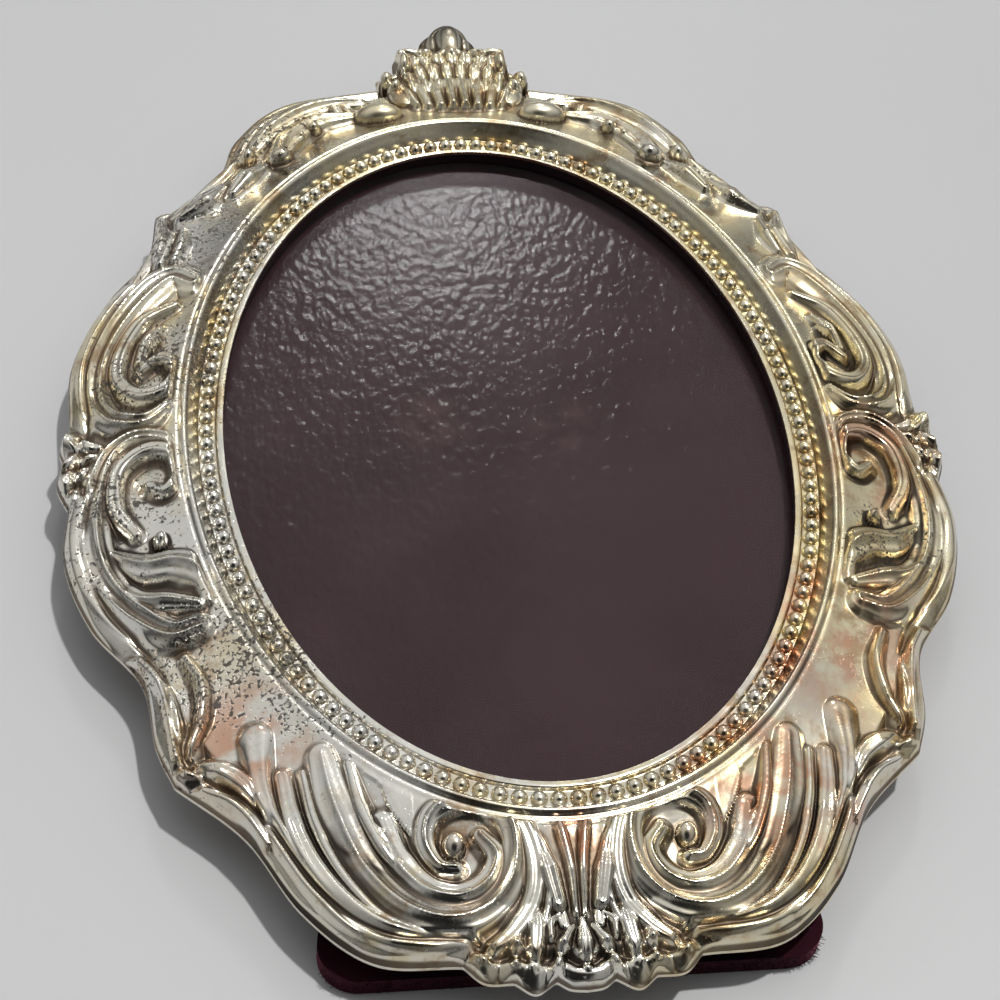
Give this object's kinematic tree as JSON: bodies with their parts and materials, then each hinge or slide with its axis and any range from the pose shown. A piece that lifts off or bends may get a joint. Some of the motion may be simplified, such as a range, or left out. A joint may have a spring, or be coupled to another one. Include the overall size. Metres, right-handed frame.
{
  "type": "picture frame",
  "caption": "Oval table picture frame with a stamped silver-plated scrollwork front, beaded rim, glass, leatherette insert and velvet-covered easel back",
  "frame": {"origin": "centre of the bounding box in plan, at the level of the folded leg's outer face, on which the frame lies on its back", "axes": "+X to the right of the picture, +Y up the picture towards the finial, +Z out of the picture's face"},
  "size_m": [0.151, 0.2188, 0.0167],
  "materials": {
    "silver_plate": "polished silver plate with pale gold and copper tarnish and fine pitting",
    "maroon_card": "dark maroon leatherette over card",
    "clear_glass": "clear polished",
    "leatherette": "semi-gloss grained leatherette on card",
    "hardboard": "raw hardboard",
    "velvet": "short-pile dark burgundy velvet",
    "brass_fittings": "bright stamped",
    "steel_hinge": "zinc-plated"
  },
  "bodies": {
    "frame": {"front_shell": "silver_plate", "spacer_ring": "maroon_card", "glass_pane": "clear_glass", "insert_panel": "leatherette", "back_board": "hardboard", "back_velvet": "velvet", "door_board": "hardboard", "door_velvet": "velvet", "button_rivets": "brass_fittings", "hinge_leaf_door": "steel_hinge", "hinge_pin": "steel_hinge", "door_leaf_rivets": "brass_fittings"},
    "easel_leg": {"leg_board": "hardboard", "leg_velvet": "velvet", "hinge_leaf_leg": "steel_hinge", "leg_leaf_rivets": "brass_fittings"},
    "button_ur": {"turn_button_upper_right": "brass_fittings"},
    "button_ul": {"turn_button_upper_left": "brass_fittings"},
    "button_lr": {"turn_button_lower_right": "brass_fittings"},
    "button_ll": {"turn_button_lower_left": "brass_fittings"}
  },
  "joints": [
    {"name": "leg_hinge", "type": "hinge", "parent": "frame", "child": "easel_leg", "pos_m": [0, 0.0168, 0.0031], "axis": [1, 0, 0], "range_deg": [0, 32]},
    {"name": "turn_upper_right", "type": "hinge", "parent": "frame", "child": "button_ur", "pos_m": [0.03567, 0.0562, 0.00365], "axis": [0, 0, 1], "range_deg": [-90, 90]},
    {"name": "turn_upper_left", "type": "hinge", "parent": "frame", "child": "button_ul", "pos_m": [-0.03567, 0.0562, 0.00365], "axis": [0, 0, 1], "range_deg": [-90, 90]},
    {"name": "turn_lower_right", "type": "hinge", "parent": "frame", "child": "button_lr", "pos_m": [0.04806, -0.04445, 0.00365], "axis": [0, 0, 1], "range_deg": [-90, 90]},
    {"name": "turn_lower_left", "type": "hinge", "parent": "frame", "child": "button_ll", "pos_m": [-0.04806, -0.04445, 0.00365], "axis": [0, 0, 1], "range_deg": [-90, 90]}
  ]
}
